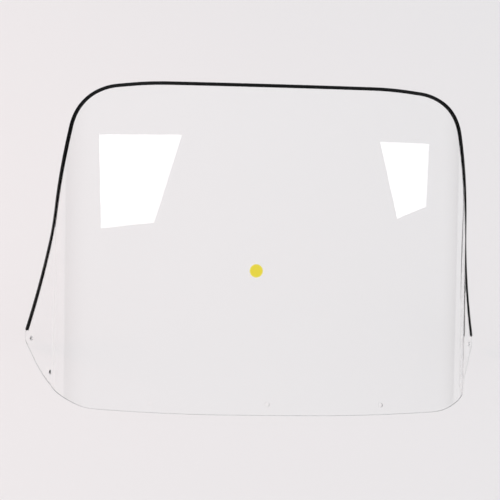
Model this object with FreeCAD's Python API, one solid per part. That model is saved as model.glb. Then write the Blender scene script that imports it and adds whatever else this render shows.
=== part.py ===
import FreeCAD, Part
import math
import os

# Clear wrap-around windshield screen: one bent polycarbonate sheet with eased edges, a push-on edge
# trim over its top and rear edges, and a round sticker on its front face.
#
# Row frame, in millimetres: X runs across the screen, +Y points to the rider behind it, +Z is up.
# The origin is on the front face, at the middle screw hole of the bottom row.
#
# The sheet is drawn flat and then bent. A flat point (s, v) is s across from the centre line and
# v up from the middle of the bottom edge. bent_point carries it to the bent sheet, at a depth
# that is 0 on the front face and SHEET_THICKNESS on the back face.

# Driving dimensions
SHEET_THICKNESS = 3.0
SHEET_HEIGHT = 467.0
EDGE_EASE = 0.6                 # 45 degree chamfer along both rims of the sheet
RAKE_DEG = 36.0                 # lean of the sheet back from the vertical

# The bent section from the centre line outwards, as (length along the sheet, bend radius). The
# negative radius bends the other way, so each wing flares out a little towards its rear edge.
FRONT = (255.0, 1600.0)
CORNER_BEND = (64.0, 55.0)
WING = (110.0, -300.0)

# The right half of the flat outline as (s, v, corner radius), from the top to the bottom
TOP_CROWN = (173.5, SHEET_HEIGHT, 500.0)
TOP_CORNER = (273.5, 456.5, 80.0)
REAR_EDGE_SWEEP = (324.5, 266.5, 250.0)
WING_TIP = (409.0, 102.0, 18.0)
WING_LOWER_EDGE = (363.5, 52.5, 150.0)
BOTTOM_CORNER = (259.0, 7.0, 90.0)
BOTTOM_CROWN = (146.5, 0.0, 3000.0)

# Seven clearance holes for M6 screws, drilled square to the sheet
HOLE_RADIUS = 3.3
BOTTOM_ROW_HEIGHT = 16.0
BOTTOM_ROW_SPACING = 165.5
WING_FRONT_HOLE = (328.5, 55.5)
WING_REAR_HOLE = (389.0, 101.5)

# Push-on edge trim, a U channel with a rounded back
TRIM_WALL = 1.0
TRIM_SLACK = 0.15               # between each leg and the sheet
TRIM_GRIP = 3.8                 # reach of the legs over the sheet
TRIM_CROWN = 1.2                # how far the back stands proud of the sheet's edge
TRIM_END_HEIGHT = 114.0

# Round sticker
STICKER_RADIUS = 9.5
STICKER_THICKNESS = 0.15
STICKER_CENTRE = (-19.0, 204.0)

# The bent surfaces are built from stations this far apart, out past the outline by the margin
STATION_STEP = 5.0
SURFACE_MARGIN = 15.0

RAKE = math.radians(RAKE_DEG)
ACROSS = FreeCAD.Vector(1, 0, 0)
UP_SHEET = FreeCAD.Vector(0, math.sin(RAKE), math.cos(RAKE))
BACKWARD = FreeCAD.Vector(0, math.cos(RAKE), -math.sin(RAKE))


def mirrored(point):
    """The same flat point on the left half."""
    return (-point[0],) + tuple(point[1:])


# --- The bent sheet ---------------------------------------------------------------------------

def section(s):
    """The bent section at s: distance across, distance back, and the angle turned so far."""
    across, backward, turn = 0.0, 0.0, 0.0
    left_over = abs(s)
    for length, radius in (FRONT, CORNER_BEND, WING):
        run = min(left_over, length)
        next_turn = turn + run / radius
        across += radius * (math.sin(next_turn) - math.sin(turn))
        backward += radius * (math.cos(turn) - math.cos(next_turn))
        turn = next_turn
        left_over -= run
    side = math.copysign(1.0, s)
    return side * across, backward, side * turn


def inward_normal(s):
    """Unit normal of the sheet at s, from the front face towards the back face."""
    turn = section(s)[2]
    return BACKWARD * math.cos(turn) - ACROSS * math.sin(turn)


def bent_point(s, v, depth):
    """The flat point (s, v) on the bent sheet, in the row frame."""
    across, backward, turn = section(s)
    on_front = ACROSS * across + BACKWARD * backward + UP_SHEET * (v - BOTTOM_ROW_HEIGHT)
    return on_front + inward_normal(s) * depth


def sheet_surface(depth):
    """The whole bent sheet at one depth, as a surface whose two parameters are s and v."""
    reach = WING_TIP[0] + SURFACE_MARGIN
    steps = 2 * math.ceil(reach / STATION_STEP)
    stations = [reach * (2 * i / steps - 1) for i in range(steps + 1)]
    heights = [-SURFACE_MARGIN, SHEET_HEIGHT + SURFACE_MARGIN]
    rails = []
    for v in heights:
        rail = Part.BSplineCurve()
        rail.interpolate(Points=[bent_point(s, v, depth) for s in stations], Parameters=stations)
        rails.append(rail)
    low, high = rails
    surface = Part.BSplineSurface()
    surface.buildFromPolesMultsKnots(
        [list(pair) for pair in zip(low.getPoles(), high.getPoles())],
        low.getMultiplicities(), [2, 2], low.getKnots(), heights,
        False, False, low.Degree, 1)
    return surface


# --- The flat outline -------------------------------------------------------------------------

def flat_vector(corner):
    return FreeCAD.Vector(corner[0], corner[1], 0)


def vector_2d(point):
    return FreeCAD.Base.Vector2d(point.x, point.y)


def with_neighbours(corners):
    """Each corner of a closed outline, between the one before it and the one after it."""
    return list(zip(corners[-1:] + corners[:-1], corners, corners[1:] + corners[:1]))


def turn_at(before, corner, after):
    """The corner's place, the headings into it and out of it, and half the angle between them."""
    here = flat_vector(corner)
    heading_in = (here - flat_vector(before)).normalize()
    heading_out = (flat_vector(after) - here).normalize()
    return here, heading_in, heading_out, heading_in.getAngle(heading_out) / 2


def corner_arc(before, corner, after):
    """Start, middle and end of the arc that rounds one corner of a flat outline."""
    here, heading_in, heading_out, half_turn = turn_at(before, corner, after)
    radius = corner[2]
    reach = radius * math.tan(half_turn)
    inward = (heading_out - heading_in).normalize()
    middle = here + inward * radius * (1 / math.cos(half_turn) - 1)
    return here - heading_in * reach, middle, here + heading_out * reach


def flat_line(start, end):
    return Part.Geom2d.Line2dSegment(vector_2d(start), vector_2d(end))


def rounded_loop(corners):
    """A closed flat outline: one arc per corner, joined by straight lines."""
    arcs = [corner_arc(*trio) for trio in with_neighbours(corners)]
    pieces = []
    for arc, next_arc in zip(arcs, arcs[1:] + arcs[:1]):
        pieces.append(Part.Geom2d.ArcOfCircle2d(*map(vector_2d, arc)))
        pieces.append(flat_line(arc[2], next_arc[0]))
    return pieces


def rounded_run(corners):
    """An open flat path: straight lines from the first corner to the last, with arcs between."""
    pieces = []
    here = flat_vector(corners[0])
    for before, corner, after in zip(corners, corners[1:], corners[2:]):
        arc = corner_arc(before, corner, after)
        pieces.append(flat_line(here, arc[0]))
        pieces.append(Part.Geom2d.ArcOfCircle2d(*map(vector_2d, arc)))
        here = arc[2]
    pieces.append(flat_line(here, flat_vector(corners[-1])))
    return pieces


def moved_in(before, corner, after, amount):
    """One corner of a clockwise outline after every side has moved inwards by the amount."""
    here, heading_in, heading_out, half_turn = turn_at(before, corner, after)
    to_inside = (heading_in + heading_out).cross(FreeCAD.Vector(0, 0, 1)).normalize()
    moved = here + to_inside * amount / math.cos(half_turn)
    bulges_out = to_inside.dot(heading_out - heading_in) > 0
    radius = corner[2] - amount if bulges_out else corner[2] + amount
    return moved.x, moved.y, radius


def sheet_outline(inset=0.0):
    """The sheet's flat outline, clockwise, or the same outline moved inwards by the inset."""
    right_half = [TOP_CROWN, TOP_CORNER, REAR_EDGE_SWEEP, WING_TIP,
                  WING_LOWER_EDGE, BOTTOM_CORNER, BOTTOM_CROWN]
    left_half = [mirrored(corner) for corner in reversed(right_half)]
    trios = with_neighbours(right_half + left_half)
    return rounded_loop([moved_in(*trio, inset) for trio in trios])


def bent_solid(layers):
    """The solid through a stack of flat outlines, each bent at its own depth in the sheet."""
    rims = []
    caps = []
    for depth, outline in layers:
        surface = sheet_surface(depth)
        rim = [piece.toShape(surface) for piece in outline]
        rims.append(rim)
        caps.append(Part.Face(surface, Part.Wire(rim)))
    faces = [caps[0], caps[-1]]
    for rim, next_rim in zip(rims, rims[1:]):
        faces += [Part.makeRuledSurface(edge, next_edge) for edge, next_edge in zip(rim, next_rim)]
    shell = Part.Shell(faces)
    shell.sewShape()
    return Part.Solid(shell)


# --- The pieces -------------------------------------------------------------------------------

def screw_hole_centres():
    right_side = [(BOTTOM_ROW_SPACING, BOTTOM_ROW_HEIGHT), WING_FRONT_HOLE, WING_REAR_HOLE]
    left_side = [mirrored(centre) for centre in right_side]
    return [(0.0, BOTTOM_ROW_HEIGHT)] + right_side + left_side


def windshield_panel():
    full = sheet_outline()
    eased = sheet_outline(EDGE_EASE)
    panel = bent_solid([(0.0, eased), (EDGE_EASE, full),
                        (SHEET_THICKNESS - EDGE_EASE, full), (SHEET_THICKNESS, eased)])
    for s, v in screw_hole_centres():
        start = bent_point(s, v, -SHEET_THICKNESS)
        drill = Part.makeCylinder(HOLE_RADIUS, 3 * SHEET_THICKNESS, start, inward_normal(s))
        panel = panel.cut(drill)
    return panel


def trim_path():
    """The run of the sheet's edge that the trim covers, from one wing over the top."""
    share = (REAR_EDGE_SWEEP[1] - TRIM_END_HEIGHT) / (REAR_EDGE_SWEEP[1] - WING_TIP[1])
    end_s = REAR_EDGE_SWEEP[0] + share * (WING_TIP[0] - REAR_EDGE_SWEEP[0])
    right_half = [(end_s, TRIM_END_HEIGHT), REAR_EDGE_SWEEP, TOP_CORNER, TOP_CROWN]
    left_half = [mirrored(corner) for corner in reversed(right_half)]
    return rounded_run(right_half + left_half)


def trim_profile(edge_point, outward, inward):
    """The U section, drawn square to the sheet's edge at one point of its mid thickness."""
    slot_half = SHEET_THICKNESS / 2 + TRIM_SLACK
    outer_half = slot_half + TRIM_WALL

    def at(out, depth):
        return edge_point + outward * out + inward * depth

    back = Part.Arc(at(0, -outer_half), at(TRIM_CROWN, 0), at(0, outer_half)).toShape()
    corners = [at(0, outer_half), at(-TRIM_GRIP, outer_half), at(-TRIM_GRIP, slot_half),
               at(0, slot_half), at(0, -slot_half), at(-TRIM_GRIP, -slot_half),
               at(-TRIM_GRIP, -outer_half), at(0, -outer_half)]
    legs = [Part.makeLine(start, end) for start, end in zip(corners, corners[1:])]
    return Part.Wire([back] + legs)


def edge_trim():
    mid_surface = sheet_surface(SHEET_THICKNESS / 2)
    mid_rim = Part.Wire([piece.toShape(mid_surface) for piece in sheet_outline()])
    mid_face = Part.Face(mid_surface, mid_rim)
    flat_path = trim_path()
    path = Part.Wire([piece.toShape(mid_surface) for piece in flat_path])
    first_edge = path.OrderedEdges[0]
    start = first_edge.valueAt(first_edge.FirstParameter)
    heading = first_edge.tangentAt(first_edge.FirstParameter)
    inward = inward_normal(flat_path[0].value(flat_path[0].FirstParameter).x)
    outward = inward.cross(heading).normalize()
    sweep = Part.BRepOffsetAPI.MakePipeShell(path)
    sweep.setSpineSupport(mid_face)
    sweep.add(trim_profile(start, outward, inward))
    sweep.build()
    sweep.makeSolid()
    return sweep.shape()


def round_sticker():
    centre = FreeCAD.Base.Vector2d(*STICKER_CENTRE)
    outline = [Part.Geom2d.Circle2d(centre, STICKER_RADIUS)]
    return bent_solid([(-STICKER_THICKNESS, outline), (0.0, outline)])


PIECES = {
    "windshield_panel": windshield_panel,
    "edge_trim": edge_trim,
    "round_sticker": round_sticker,
}

os.makedirs("parts", exist_ok=True)
for name, build_piece in PIECES.items():
    shape = build_piece()
    shape.exportStep(f"parts/{name}.step")
    print(name, "valid", shape.isValid(), "solids", len(shape.Solids))
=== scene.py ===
import math

import bpy
from mathutils import Matrix, Vector


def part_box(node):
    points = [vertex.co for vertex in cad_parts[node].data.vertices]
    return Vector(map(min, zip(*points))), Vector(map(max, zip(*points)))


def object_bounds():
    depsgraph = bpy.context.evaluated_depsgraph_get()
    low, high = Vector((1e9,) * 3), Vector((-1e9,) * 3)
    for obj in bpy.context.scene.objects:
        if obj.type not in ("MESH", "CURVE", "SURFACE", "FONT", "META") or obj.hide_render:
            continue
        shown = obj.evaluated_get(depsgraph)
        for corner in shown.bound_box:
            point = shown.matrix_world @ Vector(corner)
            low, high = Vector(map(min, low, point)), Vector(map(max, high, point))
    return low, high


# The clear windshield screen on a pale studio floor, seen nearly square to its leaning front.
#
# The three CAD nodes keep their shapes. Blender adds the finishes, the floor, the lights and the
# camera. The meshes follow the bent faces only roughly, so the sheet's finish works out smooth
# normals for them. Lengths are in metres and angles in radians, unless a comment says otherwise.

MM = 0.001

# The sheet leans back by this angle, as in the CAD part. Its bends run along UP_SHEET, and their
# section lies in the plane of ACROSS and BACKWARD.
RAKE = math.radians(36.0)
UP_SHEET = (0.0, math.sin(RAKE), math.cos(RAKE))
BACKWARD = (0.0, math.cos(RAKE), -math.sin(RAKE))
ACROSS = (1.0, 0.0, 0.0)

# The bent section of the sheet from its centre line outwards, as (length, radius), as in the CAD
# part. The last arc bends the other way. Neighbouring arcs hand over within SECTION_BLEND of their
# joint. It stays short: a blend of 12 mm turns the normals back and mirrors a lamp twice.
SECTION = [(0.255, 1.600), (0.064, 0.055), (0.110, -0.300)]
SECTION_BLEND = 0.25 * MM

# The camera, as angles round the object and a distance from the point it looks at
VIEW_AZIMUTH = math.radians(11.87)      # from straight in front, towards -X
VIEW_ELEVATION = math.radians(35.06)
VIEW_ROLL = math.radians(7.96)
VIEW_DISTANCE = 3.939
AIM_FROM_CENTRE = Vector((-0.0264, 0.0034, -0.0001))
SENSOR_WIDTH = 36.0                     # this and the focal length are in millimetres
FOCAL_LENGTH = 200.65
CLIP_END = 200.0

# Finishes
POLYCARBONATE_IOR = 1.585
VINYL_IOR = 1.5
CLEAR_TINT = (0.985, 0.988, 0.988)
# Painted shade: a grey that darkens the sheet's sawn edges to a dark line
SAWN_EDGE_PAINTED_SHADE = (0.42, 0.44, 0.44)
PVC_BLACK = (0.0025, 0.0025, 0.003)
DUST_GREY = (0.04, 0.038, 0.036)
LABEL_YELLOW = (0.93, 0.77, 0.037)
WORN_YELLOW = (0.95, 0.88, 0.34)
WORN_RIM_START = 0.80                   # share of the sticker's radius
PAPER_SHADE = 0.985                     # the darkest parts of the paper, as a share of its colour

# Studio
FLOOR_GAP = 0.2 * MM
FLOOR_SIZE = 60.0
FLOOR_COLOUR = (0.82, 0.80, 0.806)
SKY_COLOUR = (0.940, 0.980, 0.996)
SKY_GLOW = 1.147
WALL_GLOW = 0.25
WALL_TOP = (0.10, 0.75)                 # heights of the dim wall's soft top edge, as sines
SOFTBOX_DISTANCE = 3.0
SOFTBOX_COLOUR = (1.0, 1.0, 1.0)
SOFTBOX_GLOW = 5.5
FILL_ANGLES = (-110, 45)                # azimuth and elevation in degrees
FILL_DISTANCE = 2.3
FILL_HALF_SIZE = 0.5
FILL_COLOUR = (1.0, 0.68, 0.62)
FILL_GLOW = 4.3

# Each softbox has its direction from the object, as azimuth and elevation in degrees, and its
# corners, as (right, up) from its middle. They are skewed, because the camera sees them mirrored
# in the leaning, bent sheet.
SOFTBOXES = {
    "softbox_left": ((-13, 39), [(-0.296, 0.067), (0.337, 0.157), (0.164, -0.088), (-0.238, -0.159)]),
    "softbox_right": ((38, 34), [(-0.181, 0.165), (0.182, 0.019), (0.112, -0.120), (-0.114, -0.065)]),
}


# --- Node helpers -----------------------------------------------------------------------------

def set_range(node, source, result):
    """Sets the two ranges of a Map Range node, each as (low, high)."""
    for key, limit in zip(("From Min", "From Max", "To Min", "To Max"), (*source, *result)):
        node.inputs[key].default_value = limit


class Nodes:
    """A material's node tree, with short ways to add and link nodes."""

    def __init__(self, name):
        self.material = bpy.data.materials.new(name)
        self.material.use_nodes = True
        self.tree = self.material.node_tree
        self.shader = self.tree.nodes["Principled BSDF"]

    def add(self, kind, **settings):
        node = self.tree.nodes.new("ShaderNode" + kind)
        for key, value in settings.items():
            setattr(node, key, value)
        return node

    def link(self, source, target):
        self.tree.links.new(source, target)

    def set(self, **values):
        """Plain values on the shader's own sockets, written with _ for each space."""
        for key, value in values.items():
            self.shader.inputs[key.replace("_", " ")].default_value = value

    def object_point(self):
        return self.add("TexCoord").outputs["Object"]

    def stretched(self, point, scale, rotation=(0.0, 0.0, 0.0)):
        mapping = self.add("Mapping")
        mapping.inputs["Scale"].default_value = scale
        mapping.inputs["Rotation"].default_value = rotation
        self.link(point, mapping.inputs["Vector"])
        return mapping.outputs["Vector"]

    def noise(self, point, scale, detail=2.0, roughness=0.5):
        noise = self.add("TexNoise")
        noise.inputs["Scale"].default_value = scale
        noise.inputs["Detail"].default_value = detail
        noise.inputs["Roughness"].default_value = roughness
        self.link(point, noise.inputs["Vector"])
        return noise.outputs["Fac"]

    def remap(self, value, source, result):
        """Turns the range source = (low, high) into the range result, and holds it beyond."""
        node = self.add("MapRange")
        set_range(node, source, result)
        self.link(value, node.inputs["Value"])
        return node.outputs["Result"]

    def maths(self, operation, *values):
        node = self.add("Math", operation=operation)
        for socket, value in zip(node.inputs, values):
            if isinstance(value, float):
                socket.default_value = value
            else:
                self.link(value, socket)
        return node.outputs["Value"]

    def mix_colour(self, factor, first, second):
        node = self.add("Mix", data_type="RGBA")
        colours = [s for s in node.inputs if s.type == "RGBA"]
        for socket, value in zip(colours, (first, second)):
            socket.default_value = (*value, 1.0)
        self.link(factor, node.inputs["Factor"])
        return [s for s in node.outputs if s.type == "RGBA"][0]

    def vector(self, operation, *values):
        """A vector operation on links and plain tuples. SCALE takes a vector and a linked number."""
        gives_number = operation in ("DOT_PRODUCT", "DISTANCE")
        node = self.add("VectorMath", operation=operation)
        sockets = [node.inputs[0], node.inputs["Scale"] if operation == "SCALE" else node.inputs[1]]
        for socket, value in zip(sockets, values):
            if isinstance(value, tuple):
                socket.default_value = value
            else:
                self.link(value, socket)
        return node.outputs["Value" if gives_number else "Vector"]

    def mix_vector(self, factor, first, second):
        node = self.add("Mix", data_type="VECTOR")
        vectors = [s for s in node.inputs if s.type == "VECTOR" and s.name in "AB"]
        self.link(factor, node.inputs["Factor"])
        self.link(first, vectors[0])
        self.link(second, vectors[1])
        return [s for s in node.outputs if s.type == "VECTOR"][0]

    def bump(self, height, distance, strength=1.0, normal=None):
        node = self.add("Bump")
        node.inputs["Strength"].default_value = strength
        node.inputs["Distance"].default_value = distance
        self.link(height, node.inputs["Height"])
        if normal is not None:
            self.link(normal, node.inputs["Normal"])
        return node.outputs["Normal"]


# --- Finishes ---------------------------------------------------------------------------------

def sawn_edge_mask(nodes):
    """1 on the sheet's sawn edges and 0 on its faces.

    The faces never tilt up or down the sheet, and an edge does unless it runs straight up it.
    """
    normal = nodes.add("NewGeometry").outputs["Normal"]
    tilt = nodes.maths("ABSOLUTE", nodes.vector("DOT_PRODUCT", normal, UP_SHEET))
    return nodes.remap(tilt, (0.2, 0.4), (0.0, 1.0))


def section_arcs():
    """Each arc's start, heading there and axis, as (across, behind), and its radius."""
    across, behind, turn = 0.0, 0.0, 0.0
    arcs = []
    for length, radius in SECTION:
        heading = (math.cos(turn), math.sin(turn))
        axis = (across - radius * heading[1], behind + radius * heading[0])
        arcs.append(((across, behind), heading, axis, radius))
        turn += length / radius
        across = axis[0] + radius * math.sin(turn)
        behind = axis[1] - radius * math.cos(turn)
    return arcs


def arc_normal(nodes, place, hand, axis, radius):
    """Points away from the arc's axis, or towards it on an arc that bends the other way."""
    side = math.copysign(1.0, radius)
    across, behind = [nodes.maths("MULTIPLY", nodes.maths("SUBTRACT", position, middle), side)
                      for position, middle in zip(place, axis)]
    sideways = nodes.vector("SCALE", ACROSS, nodes.maths("MULTIPLY", across, hand))
    backward = nodes.vector("SCALE", BACKWARD, behind)
    return nodes.vector("NORMALIZE", nodes.vector("ADD", sideways, backward))


def past_joint(nodes, place, start, heading):
    """0 before an arc's start and 1 after it, by the distance along the sheet's heading there."""
    along = nodes.maths("ADD", nodes.maths("MULTIPLY", place[0], heading[0]),
                        nodes.maths("MULTIPLY", place[1], heading[1]))
    joint = start[0] * heading[0] + start[1] * heading[1]
    return nodes.remap(along, (joint - SECTION_BLEND, joint + SECTION_BLEND), (0.0, 1.0))


def smooth_normal(nodes, edge):
    """The true normal of the bent faces, which the mesh follows only roughly between its points.

    On the sawn edges it's the mesh's own normal.
    """
    geometry = nodes.add("NewGeometry")
    x = nodes.vector("DOT_PRODUCT", geometry.outputs["Position"], ACROSS)
    behind = nodes.vector("DOT_PRODUCT", geometry.outputs["Position"], BACKWARD)
    place = (nodes.maths("ABSOLUTE", x), behind)
    hand = nodes.maths("SIGN", x)

    outward = None
    for start, heading, axis, radius in section_arcs():
        normal = arc_normal(nodes, place, hand, axis, radius)
        if outward is None:
            outward = normal
        else:
            outward = nodes.mix_vector(past_joint(nodes, place, start, heading), outward, normal)

    mesh_normal = geometry.outputs["Normal"]
    facing = nodes.maths("SIGN", nodes.vector("DOT_PRODUCT", mesh_normal, outward))
    return nodes.mix_vector(edge, nodes.vector("SCALE", outward, facing), mesh_normal)


def clear_polycarbonate():
    """Hard-coated clear sheet: polished faces with a faint haze and fine rub marks, and rough sawn
    edges darkened grey by painted shade.
    """
    nodes = Nodes("clear_polycarbonate_sheet")
    nodes.set(Transmission_Weight=1.0, IOR=POLYCARBONATE_IOR, Specular_IOR_Level=0.5)
    point = nodes.object_point()
    edge = sawn_edge_mask(nodes)

    face_haze = nodes.remap(nodes.noise(point, scale=9.0, detail=3.0), (0.45, 0.75), (0.0, 0.012))
    saw_marks = nodes.noise(nodes.stretched(point, (900.0, 60.0, 60.0)), scale=1.0, detail=2.0)
    edge_roughness = nodes.remap(saw_marks, (0.3, 0.7), (0.22, 0.42))
    edge_share = nodes.maths("MULTIPLY", edge, edge_roughness)
    nodes.link(nodes.maths("ADD", face_haze, edge_share), nodes.shader.inputs["Roughness"])

    # The sheet's own faint tint on its faces, and painted shade in grey on its sawn edges
    tint_and_edge_shade = nodes.mix_colour(edge, CLEAR_TINT, SAWN_EDGE_PAINTED_SHADE)
    nodes.link(tint_and_edge_shade, nodes.shader.inputs["Base Color"])

    # The rub marks run on a slant and are far shallower than the saw marks on the edges
    slanted = nodes.stretched(point, (40.0, 500.0, 500.0), rotation=(0.6, 0.0, 0.3))
    rub_relief = nodes.maths("MULTIPLY", nodes.noise(slanted, scale=1.0, detail=1.0), 0.004)
    sawn_relief = nodes.maths("MULTIPLY", edge, saw_marks)
    height = nodes.maths("ADD", rub_relief, sawn_relief)
    normal = nodes.bump(height, distance=0.05 * MM, strength=0.3, normal=smooth_normal(nodes, edge))
    nodes.link(normal, nodes.shader.inputs["Normal"])
    return nodes.material


def black_pvc():
    """Extruded black PVC with a fine leathery grain, a slight sheen and a little dust."""
    nodes = Nodes("black_pvc_trim")
    nodes.set(IOR=VINYL_IOR, Specular_IOR_Level=0.11)
    point = nodes.object_point()

    specks = nodes.remap(nodes.noise(point, scale=1400.0, detail=2.0), (0.68, 0.78), (0.0, 1.0))
    colour = nodes.mix_colour(specks, PVC_BLACK, DUST_GREY)
    nodes.link(colour, nodes.shader.inputs["Base Color"])

    mottle = nodes.noise(point, scale=60.0, detail=4.0, roughness=0.6)
    nodes.link(nodes.remap(mottle, (0.3, 0.7), (0.18, 0.28)), nodes.shader.inputs["Roughness"])

    grain = nodes.noise(point, scale=2600.0, detail=3.0, roughness=0.6)
    nodes.link(nodes.bump(grain, distance=0.03 * MM, strength=0.5), nodes.shader.inputs["Normal"])
    return nodes.material


def yellow_vinyl(centre, radius):
    """A plain yellow dot: warm centre, slightly paler worn rim, and a soft paper-like grain."""
    nodes = Nodes("yellow_vinyl_dot")
    nodes.set(IOR=VINYL_IOR, Specular_IOR_Level=0.4, Coat_Weight=0.25, Coat_Roughness=0.2)
    point = nodes.object_point()

    from_centre = nodes.vector("DISTANCE", point, tuple(centre))
    rim = nodes.remap(from_centre, (WORN_RIM_START * radius, radius), (0.0, 1.0))
    wear = nodes.noise(point, scale=500.0, detail=4.0, roughness=0.6)
    colour = nodes.mix_colour(nodes.maths("MULTIPLY", rim, wear), LABEL_YELLOW, WORN_YELLOW)
    nodes.link(colour, nodes.shader.inputs["Base Color"])

    fibre = nodes.noise(point, scale=1800.0, detail=4.0, roughness=0.6)
    nodes.link(nodes.remap(fibre, (0.3, 0.7), (0.38, 0.55)), nodes.shader.inputs["Roughness"])
    nodes.link(nodes.bump(fibre, distance=0.02 * MM, strength=0.4), nodes.shader.inputs["Normal"])
    return nodes.material


def floor_paper():
    """Matt background paper with wide, very faint differences in tone."""
    nodes = Nodes("floor_paper")
    nodes.set(Specular_IOR_Level=0.0, Roughness=0.9)
    tone = nodes.noise(nodes.object_point(), scale=1.5, detail=3.0)
    colour = nodes.mix_colour(tone, FLOOR_COLOUR, tuple(PAPER_SHADE * c for c in FLOOR_COLOUR))
    nodes.link(colour, nodes.shader.inputs["Base Color"])
    return nodes.material


def lamp_cloth(name, colour, strength):
    """A plain glowing cloth."""
    nodes = Nodes(name)
    emission = nodes.add("Emission")
    emission.inputs["Color"].default_value = (*colour, 1.0)
    emission.inputs["Strength"].default_value = strength
    output = nodes.tree.nodes["Material Output"]
    nodes.link(emission.outputs["Emission"], output.inputs["Surface"])
    return nodes.material


# --- Studio -----------------------------------------------------------------------------------

def mesh_object(name, corners, material):
    """One flat face through its corners."""
    mesh = bpy.data.meshes.new(name)
    mesh.from_pydata([tuple(c) for c in corners], [], [tuple(range(len(corners)))])
    made = bpy.data.objects.new(name, mesh)
    made.data.materials.append(material)
    bpy.context.scene.collection.objects.link(made)
    return made


def square(half):
    """The corners of a square about its middle."""
    return [(-half, -half), (half, -half), (half, half), (-half, half)]


def direction_to(azimuth, elevation):
    """Unit vector from the object towards a point at these angles. Azimuth 0 is in front."""
    level = math.cos(elevation)
    return Vector((math.sin(azimuth) * level, -math.cos(azimuth) * level, math.sin(elevation)))


def pale_floor(lowest):
    """A wide sheet of paper just below the object."""
    height = lowest.z - FLOOR_GAP
    corners = [(x, y, height) for x, y in square(FLOOR_SIZE / 2)]
    floor = mesh_object("floor", corners, floor_paper())


def hung_panel(name, target, angles, distance, corners, cloth):
    """A glowing panel that faces the object and that only its light and reflections give away.

    The angles are in degrees. The corners are (right, up) from its middle.
    """
    towards = direction_to(*map(math.radians, angles))
    right = Vector((0, 0, 1)).cross(towards).normalized()
    up = towards.cross(right)
    middle = target + towards * distance
    panel = mesh_object(name, [middle + right * x + up * z for x, z in corners], cloth)
    panel.visible_camera = False
    panel.visible_transmission = False
    return panel


def softbox(name, target, angles, corners):
    """A lamp seen as a bright patch in the sheet."""
    cloth = lamp_cloth(name, SOFTBOX_COLOUR, SOFTBOX_GLOW)
    hung_panel(name, target, angles, SOFTBOX_DISTANCE, corners, cloth)


def warm_fill(target):
    """A warm lamp on the -X side that lights the floor and doesn't show in the sheet."""
    cloth = lamp_cloth("warm_fill", FILL_COLOUR, FILL_GLOW)
    panel = hung_panel("warm_fill", target, FILL_ANGLES, FILL_DISTANCE, square(FILL_HALF_SIZE), cloth)
    panel.visible_glossy = False


def studio_world():
    """A white surround overhead that falls off to a dim studio wall near the horizon."""
    world = bpy.data.worlds.new("studio")
    world.use_nodes = True
    tree = world.node_tree
    direction = tree.nodes.new("ShaderNodeTexCoord")
    height = tree.nodes.new("ShaderNodeSeparateXYZ")
    fade = tree.nodes.new("ShaderNodeMapRange")
    set_range(fade, WALL_TOP, (WALL_GLOW, SKY_GLOW))
    background = tree.nodes["Background"]
    background.inputs["Color"].default_value = (*SKY_COLOUR, 1.0)
    tree.links.new(direction.outputs["Generated"], height.inputs["Vector"])
    tree.links.new(height.outputs["Z"], fade.inputs["Value"])
    tree.links.new(fade.outputs["Result"], background.inputs["Strength"])
    bpy.context.scene.world = world


def photo_camera(target):
    """A long lens that looks at the target from the photo's angle."""
    camera = bpy.data.objects.new("camera", bpy.data.cameras.new("camera"))
    camera.data.sensor_width = SENSOR_WIDTH
    camera.data.lens = FOCAL_LENGTH
    camera.data.clip_end = CLIP_END
    away = direction_to(-VIEW_AZIMUTH, VIEW_ELEVATION)
    camera.location = target + away * VIEW_DISTANCE
    turn = (-away).to_track_quat("-Z", "Y").to_matrix().to_4x4()
    roll = Matrix.Rotation(VIEW_ROLL, 4, "Z")
    camera.rotation_mode = "QUATERNION"
    camera.rotation_quaternion = (turn @ roll).to_quaternion()
    bpy.context.scene.collection.objects.link(camera)
    bpy.context.scene.camera = camera


# --- The scene --------------------------------------------------------------------------------

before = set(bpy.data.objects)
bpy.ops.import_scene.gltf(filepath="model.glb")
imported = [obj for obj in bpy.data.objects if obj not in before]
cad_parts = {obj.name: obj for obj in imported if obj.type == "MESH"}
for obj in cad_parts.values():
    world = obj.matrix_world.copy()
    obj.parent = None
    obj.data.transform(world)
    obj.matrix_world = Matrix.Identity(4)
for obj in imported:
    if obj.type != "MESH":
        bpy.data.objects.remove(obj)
cad_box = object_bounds()
lowest, highest = cad_box
centre = (lowest + highest) / 2

sticker_low, sticker_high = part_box("round_sticker")
sticker_radius = (sticker_high.x - sticker_low.x) / 2

finishes = {
    "windshield_panel": clear_polycarbonate(),
    "edge_trim": black_pvc(),
    "round_sticker": yellow_vinyl((sticker_low + sticker_high) / 2, sticker_radius),
}
for node_name, finish in finishes.items():
    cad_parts[node_name].material_slots[0].material = finish

# The clear sheet doesn't shade the floor: almost all of the light goes through it
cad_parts["windshield_panel"].visible_shadow = False
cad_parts["windshield_panel"].visible_diffuse = False

pale_floor(lowest)
for softbox_name, (angles, corners) in SOFTBOXES.items():
    softbox(softbox_name, centre, angles, corners)
warm_fill(centre)
studio_world()
bpy.context.scene.view_settings.view_transform = "Standard"
photo_camera(centre + AIM_FROM_CENTRE)
